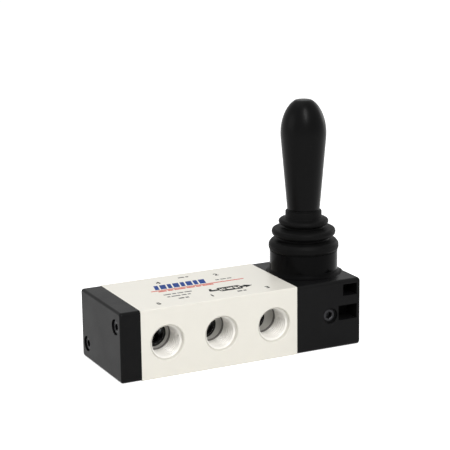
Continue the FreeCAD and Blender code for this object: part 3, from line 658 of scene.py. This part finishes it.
def paint_neck_and_foot_shade(mesh):
    """Gives the neck its glossier finish, and the hollow of its foot a darker one, which is painted
    shade where the neck meets the top face.
    """
    mesh.materials.append(FINISHES["neck_gloss"])
    mesh.materials.append(FINISHES["neck_foot"])
    counts = [0, 0, 0]
    for face in mesh.polygons:
        corners = [mesh.vertices[i].co for i in face.vertices]
        reaches = [math.hypot(spot.x - LEVER_X, spot.y) / MM for spot in corners]
        outside = min(reaches) > NECK_R - NECK_SLACK
        inside = max(reaches) < NECK_R + NECK_FOOT_R - FOOT_EDGE
        if face.center.z > body_high.z and outside and inside:
            face.material_index = 1 if max(reaches) < NECK_R + NECK_SLACK else 2
        counts[face.material_index] += 1
    return counts


body = skin("valve_body", "body_paint", "body", smooth_degrees=34)
print("port wall points moved:", widen_ports(body.data))
# The bores behind the floors are painted nearly black: painted shade of the deep passages.
print("faces painted, bare and oiled:", paint_inside(body.data))
skin("end_cover", "black_moulding", "cover", smooth_degrees=34)
housing = skin("lever_housing", "black_moulding", "housing", smooth_degrees=38)
print("faces of the housing, its neck and the neck's foot:", paint_neck_and_foot_shade(housing.data))

# %% [markdown]
# Each port has a pipe thread of 19 turns to the inch, 1.337 mm a turn. The
# tree winds a helix and sweeps a tooth along it, then copies the finished
# thread to every port of one side. A helix needs upright normals, or the tooth
# would roll as it climbs. The sweep's scale fades the tooth out at both ends,
# over a length that is given in turns.

# %% Port threads
THREAD_PITCH = 1.337
THREAD_TURNS = 8.1
THREAD_START = 0.9
THREAD_FADE = 0.6
FADED_SCALE = 0.02
HELIX_STEPS = 56
TOOTH_HALF_SHARE = 0.46
TOOTH_SUNK = 0.03
CREST_HALF = 0.15
THREAD_SMOOTH = 30


def build_thread_tree():
    sockets = [("Turns", "Float"), ("Height", "Float"), ("Root", "Float"), ("Turn", "Vector"),
               ("Tooth", "Object"), ("Finish", "Material")]
    tree, source, result = new_tree("port thread", sockets)
    helix = add_node(tree, "GeometryNodeCurveSpiral", resolution=HELIX_STEPS)
    upright = add_node(tree, "GeometryNodeSetCurveNormal", mode="Z_UP")
    along = add_node(tree, "GeometryNodeSplineParameter")
    to_end = add_node(tree, "ShaderNodeMath", operation="SUBTRACT")
    nearer = add_node(tree, "ShaderNodeMath", operation="MINIMUM")
    fade = add_node(tree, "ShaderNodeMapRange")
    fade.inputs["From Max"].default_value = THREAD_FADE / THREAD_TURNS
    fade.inputs["To Min"].default_value = FADED_SCALE
    tooth = add_node(tree, "GeometryNodeObjectInfo")
    chain = add_node(tree, "GeometryNodeMeshToCurve")
    sweep = add_node(tree, "GeometryNodeCurveToMesh")
    sweep.inputs["Fill Caps"].default_value = True
    copies = add_node(tree, "GeometryNodeInstanceOnPoints")
    link(tree, source.outputs["Turns"], helix.inputs["Rotations"])
    link(tree, source.outputs["Root"], helix.inputs["Start Radius"])
    link(tree, source.outputs["Root"], helix.inputs["End Radius"])
    link(tree, source.outputs["Height"], helix.inputs["Height"])
    link(tree, helix.outputs[0], upright.inputs[0])
    to_end.inputs[0].default_value = 1.0
    link(tree, along.outputs["Factor"], to_end.inputs[1])
    link(tree, along.outputs["Factor"], nearer.inputs[0])
    link(tree, to_end.outputs[0], nearer.inputs[1])
    link(tree, nearer.outputs[0], fade.inputs["Value"])
    link(tree, fade.outputs[0], sweep.inputs["Scale"])
    link(tree, source.outputs["Tooth"], tooth.inputs["Object"])
    link(tree, tooth.outputs["Geometry"], chain.inputs[0])
    link(tree, upright.outputs[0], sweep.inputs["Curve"])
    link(tree, chain.outputs[0], sweep.inputs["Profile Curve"])
    link(tree, source.outputs["Geometry"], copies.inputs["Points"])
    link(tree, sweep.outputs[0], copies.inputs["Instance"])
    link(tree, source.outputs["Turn"], copies.inputs["Rotation"])
    close_tree(tree, source, result, copies.outputs[0])
    return tree


THREAD = build_thread_tree()
tooth_half = THREAD_PITCH * TOOTH_HALF_SHARE
tooth_tall = THREAD_ROOT - THREAD_CREST
tooth_points = [(-TOOTH_SUNK, -tooth_half), (tooth_tall, -CREST_HALF), (tooth_tall, CREST_HALF),
                (-TOOTH_SUNK, tooth_half)]
tooth_chain = points_mesh("tooth_shape", [(x * MM, y * MM, 0) for x, y in tooth_points], True)
tooth = add_piece("tooth_shape", tooth_chain)


def port_threads(name, row, side):
    """Threads of one long side; side is -1 in front and 1 at the back."""
    start_y = side * (FACE_Y - THREAD_START - THREAD_PITCH * THREAD_TURNS) * MM
    seeds = points_mesh(name, [(x, start_y, axis_z) for x in row])
    # The threads take a lighter copy of the body's paint: painted light inside the ports.
    piece = grow(name, THREAD, seeds, turns=THREAD_TURNS, height=THREAD_PITCH * THREAD_TURNS * MM,
                 root=THREAD_ROOT * MM, turn=(-side * math.pi / 2, 0, 0), tooth=tooth,
                 finish=FINISHES["thread_paint"])
    tidy_mesh(piece.data, THREAD_SMOOTH)
    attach(piece, "root")
    return piece


threads = [port_threads("front_port_threads", FRONT_PORTS, -1),
           port_threads("back_port_threads", BACK_PORTS, 1)]
bpy.data.objects.remove(tooth)
print("threads:", [len(piece.data.polygons) for piece in threads], "faces")

# %% [markdown]
# The block is held together by socket head screws that stand in round
# recesses, two at each end. One screw head is modelled with its rounded rim and
# hexagonal socket, and a tree copies it to its places.

# %% Screws
SCREW_HEAD_R = 2.75
SCREW_HEAD_TALL = 3.0
SOCKET_FLATS = 2.5
SOCKET_DEEP = 1.6
SOCKET_RIM = 0.12
SOCKET_FLARE = 0.25
SOCKET_CONE = 0.35
SHANK_R = 1.5
TIP_TALL = 0.4
TIP_SHARE = 0.8
FACE_RING_SHARE = 0.62
SCREW_SMOOTH = 35
HEAD_CHAMFER = 0.1
RIM_R = 0.3
RING_STEPS = 48
SET_SCREW_R = 1.9
SET_SCREW_DEEP = 2.4
SET_SCREW_TIP = 0.5


def ring_of(work, radius, height, steps=RING_STEPS, flats=0.0):
    """A loop of vertices: a circle, or a hexagon when its width over flats is given."""
    loop = []
    for i in range(steps):
        angle = 2 * math.pi * i / steps
        reach = radius
        if flats:
            off = (angle + math.pi / 6) % (math.pi / 3) - math.pi / 6
            reach = flats / 2 / math.cos(off)
        spot = (reach * math.cos(angle) * MM, reach * math.sin(angle) * MM, height * MM)
        loop.append(work.verts.new(spot))
    return loop


def bridge(work, lower, upper):
    for i in range(len(lower)):
        j = (i + 1) % len(lower)
        work.faces.new((lower[i], lower[j], upper[j], upper[i]))


def screw_mesh(name, head_r, head_tall, flats, deep, shank_r, shank_long):
    """A screw that points down, with the top of its head at height zero."""
    work = bmesh.new()
    foot = -head_tall - shank_long
    loops = [ring_of(work, shank_r * TIP_SHARE, foot),
             ring_of(work, shank_r, foot + TIP_TALL),
             ring_of(work, shank_r, -head_tall),
             ring_of(work, head_r - HEAD_CHAMFER, -head_tall),
             ring_of(work, head_r, -head_tall + HEAD_CHAMFER)]
    for share in (0.0, 0.25, 0.5, 0.75, 1.0):
        angle = share * math.pi / 2
        rim = head_r - RIM_R * (1 - math.cos(angle))
        loops.append(ring_of(work, rim, -RIM_R * (1 - math.sin(angle))))
    loops.append(ring_of(work, head_r * FACE_RING_SHARE, 0.0))
    loops.append(ring_of(work, 0, 0.0, flats=flats + SOCKET_FLARE))
    loops.append(ring_of(work, 0, -SOCKET_RIM, flats=flats))
    loops.append(ring_of(work, 0, -deep, flats=flats))
    for lower, upper in zip(loops, loops[1:]):
        bridge(work, lower, upper)
    work.faces.new(list(reversed(loops[0])))
    tip = work.verts.new((0, 0, -(deep + SOCKET_CONE) * MM))
    for i in range(RING_STEPS):
        work.faces.new((loops[-1][i], loops[-1][(i + 1) % RING_STEPS], tip))
    mesh = bpy.data.meshes.new(name)
    work.to_mesh(mesh)
    work.free()
    return tidy_mesh(mesh, SCREW_SMOOTH)


def build_copies_tree():
    sockets = [("Part", "Object"), ("Turn", "Vector"), ("Finish", "Material")]
    tree, source, result = new_tree("copies", sockets)
    part = add_node(tree, "GeometryNodeObjectInfo")
    copies = add_node(tree, "GeometryNodeInstanceOnPoints")
    link(tree, source.outputs["Part"], part.inputs["Object"])
    link(tree, source.outputs["Geometry"], copies.inputs["Points"])
    link(tree, part.outputs["Geometry"], copies.inputs["Instance"])
    link(tree, source.outputs["Turn"], copies.inputs["Rotation"])
    close_tree(tree, source, result, copies.outputs[0])
    return tree


COPIES = build_copies_tree()


def place_copies(name, mesh, spots, turn, finish_name, node=None):
    """Copies a mesh to spots in metres, turned by Euler angles, as one piece of the root."""
    part = add_piece(name + "_part", mesh)
    piece = grow(name, COPIES, points_mesh(name, spots), part=part, turn=turn,
                 finish=FINISHES[finish_name])
    bpy.data.objects.remove(part)
    if node:
        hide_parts(node)
    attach(piece, "root")


def end_screws(name, node, side):
    """Two screws at opposite corners of their node's box; side is -1 at the cover, 1 at the housing."""
    low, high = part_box(node)
    r = SCREW_HEAD_R * MM
    heads_x = high.x if side > 0 else low.x
    front_z, back_z = (low.z + r, high.z - r) if side > 0 else (high.z - r, low.z + r)
    spots = [(heads_x, low.y + r, front_z), (heads_x, high.y - r, back_z)]
    shank = (high.x - low.x) / MM - SCREW_HEAD_TALL
    mesh = screw_mesh(node, SCREW_HEAD_R, SCREW_HEAD_TALL, SOCKET_FLATS, SOCKET_DEEP, SHANK_R, shank)
    place_copies(name, mesh, spots, (0, side * math.pi / 2, 0), "black_steel", node=node)
    return spots


def detent_set_screw():
    """The set screw points along Y, with its socket in the housing's front."""
    low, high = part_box("detent_screw")
    mesh = screw_mesh("set_screw", (high.x - low.x) / 2 / MM, (high.y - low.y) / MM - SET_SCREW_TIP,
                      SOCKET_FLATS, SET_SCREW_DEEP, SET_SCREW_R, SET_SCREW_TIP)
    spot = ((low.x + high.x) / 2, low.y, (low.z + high.z) / 2)
    place_copies("detent_set_screw", mesh, [spot], (math.pi / 2, 0, 0), "black_steel",
                 node="detent_screw")


cover_spots = end_screws("end_screws", "cover_screws", -1)
housing_spots = end_screws("long_screws", "housing_screws", 1)
detent_set_screw()
print("screws at", [[round(v / MM, 1) for v in spot] for spot in cover_spots + housing_spots])

# %% [markdown]
# Where a tap ran out, a groove is left between the port's floor and its
# threaded wall. Its shade is painted as a flat ring with a sloping face and a
# dark finish, copied to each port. The passage behind the floor has a rim with a
# nearly black finish, which is painted shade of the deep passage; it lies a
# little to the left of the port's axis, because the galleries stand closer than
# the ports. The shifts say by how much, port by port.

# %% Grooves in the port floors
GROOVE_IN = 5.7
GROOVE_OUT = 6.47
GROOVE_TALL = 0.35
WASHER_STEPS = 72
WASHER_SMOOTH = 30
FRONT_SHIFTS = (-0.4, -1.7, -3.0)
BACK_SHIFTS = (-1.05, -2.35)
SIDES = (("front", FRONT_PORTS, FRONT_SHIFTS, -1), ("back", BACK_PORTS, BACK_SHIFTS, 1))


def washer_mesh(section):
    """A ring whose section is given as closed (radius, height) points."""
    work = bmesh.new()
    loops = [ring_of(work, radius, height, steps=WASHER_STEPS) for radius, height in section]
    for lower, upper in zip(loops, loops[1:] + loops[:1]):
        bridge(work, lower, upper)
    mesh = bpy.data.meshes.new("washer")
    work.to_mesh(mesh)
    work.free()
    return tidy_mesh(mesh, WASHER_SMOOTH)


# Sections of the rings as (radius, height) points over the port's floor.
GROOVE = [(GROOVE_IN, 0.02), (GROOVE_OUT, 0.02), (GROOVE_OUT, GROOVE_TALL), (GROOVE_IN + 0.25, 0.12)]
RIM = [(3.98, -0.5), (4.9, 0.0), (4.8, 0.06), (4.02, 0.04)]
for name, row, shifts, side in SIDES:
    floor_y = side * PORT_FLOOR_Y * MM
    turn = (-side * math.pi / 2, 0, 0)
    grooves = [(x, floor_y, axis_z) for x in row]
    rims = [(x + shift * MM, floor_y, axis_z) for x, shift in zip(row, shifts)]
    place_copies(name + "_grooves", washer_mesh(GROOVE), grooves, turn, "groove_metal")
    place_copies(name + "_passage_rims", washer_mesh(RIM), rims, turn, "oiled_bore")

# %% [markdown]
# The marks on the top are printed ink: plain port numbers, the general sign of
# a five-port valve with three positions, and plain blocks and lines. Each mark
# is a plate a few hundredths of a millimetre thick, so it is real geometry. Each
# stroke of a mark stands a little higher than the one before, so that strokes
# that cross have no face in common. Marks are placed from a point on the middle
# line of the top.

# %% Printed marks
FACE_TOP_Z = body_high.z / MM
INK_TALL = 0.03
INK_STEP = 0.0006
INK_SUNK = 0.01
MARK_FROM_END = 42.1
MARK_START_X = body_low.x / MM + MARK_FROM_END
BLOCK_COUNT = 8
BLOCK_WIDTHS = (1.7, 2.5)
BLOCK_GAP = 0.65
DASH_GAP = 0.55
ARROW_THICK = 0.42
ARROW_HEAD = 1.1
ARROW_WING_SHARE = 0.42
SIGN_THICK = 0.55
SIGN_BOLD = 1.0
SIGN_LEVER = 1.5
SIGN_STOP = 0.8
NUMBER_TALL = 3.4
NUMBER_BOLD = 0.12
FRONT_NUMBERS_Y = -14.0
BACK_NUMBERS_Y = 11.4


def plate(name, shapes, finish_name):
    """Flat closed outlines (x, y) in millimetres, as thin plates on the top face."""
    work = bmesh.new()
    for i, outline in enumerate(shapes):
        spots = [((x + MARK_START_X) * MM, y * MM) for x, y in outline]
        foot = (FACE_TOP_Z - INK_SUNK) * MM
        top = (FACE_TOP_Z + INK_TALL + i * INK_STEP) * MM
        low_loop = [work.verts.new((x, y, foot)) for x, y in spots]
        high_loop = [work.verts.new((x, y, top)) for x, y in spots]
        work.faces.new(high_loop)
        work.faces.new(list(reversed(low_loop)))
        bridge(work, low_loop, high_loop)
    bmesh.ops.recalc_face_normals(work, faces=work.faces)
    mesh = bpy.data.meshes.new(name)
    work.to_mesh(mesh)
    work.free()
    mesh.materials.append(FINISHES[finish_name])
    piece = add_piece(name, mesh)
    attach(piece, "root")


def bar(x0, y0, x1, y1, thick):
    """A straight stroke from one point to another."""
    length = math.hypot(x1 - x0, y1 - y0)
    nx = -(y1 - y0) / length * thick / 2
    ny = (x1 - x0) / length * thick / 2
    return [(x0 - nx, y0 - ny), (x1 - nx, y1 - ny), (x1 + nx, y1 + ny), (x0 + nx, y0 + ny)]


def slanted(x0, y0, wide, tall, lean):
    """A block whose upper side is shifted by its lean."""
    return [(x0, y0), (x0 + wide, y0), (x0 + wide + lean, y0 + tall), (x0 + lean, y0 + tall)]


def blue_blocks(x, y, tall, lean):
    """A row of slanted blocks that are narrow and wide in turn."""
    shapes = []
    for i in range(BLOCK_COUNT):
        width = BLOCK_WIDTHS[i % 2]
        shapes.append(slanted(x, y, width, tall, lean))
        x += width + BLOCK_GAP
    return shapes


def dashes(x0, x1, y, tall, lengths):
    """A line of dashes, as many as fit, whose lengths take turns."""
    shapes, x, i = [], x0, 0
    while x + lengths[i % len(lengths)] < x1:
        length = lengths[i % len(lengths)]
        shapes.append(slanted(x, y, length, tall, 0.0))
        x += length + DASH_GAP
        i += 1
    return shapes


def arrow(x0, y0, x1, y1):
    """A stroke with a filled head at its end."""
    length = math.hypot(x1 - x0, y1 - y0)
    ux, uy = (x1 - x0) / length, (y1 - y0) / length
    bx, by = x1 - ux * ARROW_HEAD, y1 - uy * ARROW_HEAD
    wing = ARROW_HEAD * ARROW_WING_SHARE
    head = [(bx - uy * wing, by + ux * wing), (bx + uy * wing, by - ux * wing), (x1, y1)]
    return [bar(x0, y0, bx, by, ARROW_THICK), head]


def valve_sign(x0, y0, wide, tall):
    """Three position boxes, the middle one closed, with a lever at the left and a catch at the right."""
    end = x0 + 3 * wide
    top = y0 + tall
    middle_y = y0 + tall / 2
    shapes = [bar(x0 + i * wide, y0, x0 + i * wide, top, SIGN_THICK) for i in range(4)]
    shapes += [bar(x0, y, end, y, SIGN_BOLD) for y in (y0, top)]
    for start, share_up, share_down in ((x0, 0.3, 0.72), (x0 + 2 * wide, 0.72, 0.3)):
        shapes += arrow(start + 0.5 * wide, y0, start + share_up * wide, top)
        shapes += arrow(start + share_down * wide, top, start + 0.8 * wide, y0)
    closed = [(share, y0, SIGN_STOP) for share in (0.2, 0.5, 0.8)]
    closed += [(share, top, -SIGN_STOP) for share in (0.35, 0.65)]
    for share, y, step in closed:
        x = x0 + (1 + share) * wide
        shapes.append(bar(x, y, x, y + step, SIGN_THICK))
        shapes.append(bar(x - SIGN_STOP / 2, y + step, x + SIGN_STOP / 2, y + step, SIGN_THICK))
    shapes.append(bar(x0 - 4.0, middle_y, x0, middle_y, SIGN_LEVER))
    shapes.append(bar(x0 - 3.8, middle_y - 0.3, x0 - 2.8, top + 0.4, SIGN_BOLD))
    shapes.append(bar(end, middle_y, end + 1.8, middle_y, SIGN_LEVER))
    shapes.append([(end + 1.8, middle_y - 1.7), (end + 5.0, middle_y), (end + 1.8, middle_y + 1.7)])
    return shapes


red = [bar(-28.6, 1.4, 10.6, 1.4, 0.8)]
red += dashes(-26.2, 0.0, -0.5, 1.0, (3.4, 2.2, 4.6))
grey = dashes(-26.2, -13.8, -5.2, 0.9, (3.0, 1.6, 2.4))
grey += dashes(-26.0, -13.2, -8.2, 0.9, (1.2, 3.6, 2.0))
grey += dashes(-22.9, -16.6, -11.9, 1.1, (2.2, 1.4))
grey += dashes(-11.6, -5.6, 13.6, 1.0, (2.6, 1.2, 1.8))
grey += dashes(0.0, 7.6, 4.2, 0.8, (1.6, 2.4, 1.8))
grey += dashes(0.6, 6.2, -14.0, 1.1, (2.0, 1.2, 2.4))
plate("blue_blocks", blue_blocks(-26.2, 2.7, 5.4, 1.4), "blue_ink")
plate("red_lines", red, "red_ink")
plate("grey_lines", grey, "grey_ink")
plate("valve_sign", valve_sign(-4.6, -10.2, 3.0, 3.8), "black_ink")


def number(text, x, y):
    """A plain printed number, centred on a point of the top face; x is in metres."""
    curve = bpy.data.curves.new("number_" + text, "FONT")
    curve.body = text
    curve.size = NUMBER_TALL * MM
    curve.extrude = INK_TALL / 2 * MM
    curve.offset = NUMBER_BOLD * MM
    curve.align_x = "CENTER"
    curve.align_y = "CENTER"
    seed = bpy.data.objects.new("number_seed", curve)
    scene.collection.objects.link(seed)
    depsgraph = bpy.context.evaluated_depsgraph_get()
    mesh = bpy.data.meshes.new_from_object(seed.evaluated_get(depsgraph), depsgraph=depsgraph)
    bpy.data.objects.remove(seed)
    height = FACE_TOP_Z + INK_TALL / 2 - INK_SUNK
    mesh.transform(Matrix.Translation((x, y * MM, height * MM)))
    mesh.materials.clear()
    mesh.materials.append(FINISHES["black_ink"])
    piece = add_piece("number_" + text, mesh)
    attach(piece, "root")


for text, x, shift in zip("513", FRONT_PORTS, (-0.8, -1.1, 0.0)):
    number(text, x + shift * MM, FRONT_NUMBERS_Y)
for text, x, shift in zip("42", BACK_PORTS, (-1.0, 1.5)):
    number(text, x + shift * MM, BACK_NUMBERS_Y)
print("printed marks are on the top face at", FACE_TOP_Z, "mm")

# %% [markdown]
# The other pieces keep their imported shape: what is inside the block is seen
# only through the ports and the side recess. Each gets the finish of its slot.

# %% Finishes of the other nodes
for node, piece in frame["nodes"].items():
    piece.data.materials.clear()
    piece.data.materials.append(FINISHES[SLOT_OF[node]])
print("nodes with a finish:", len(frame["nodes"]))
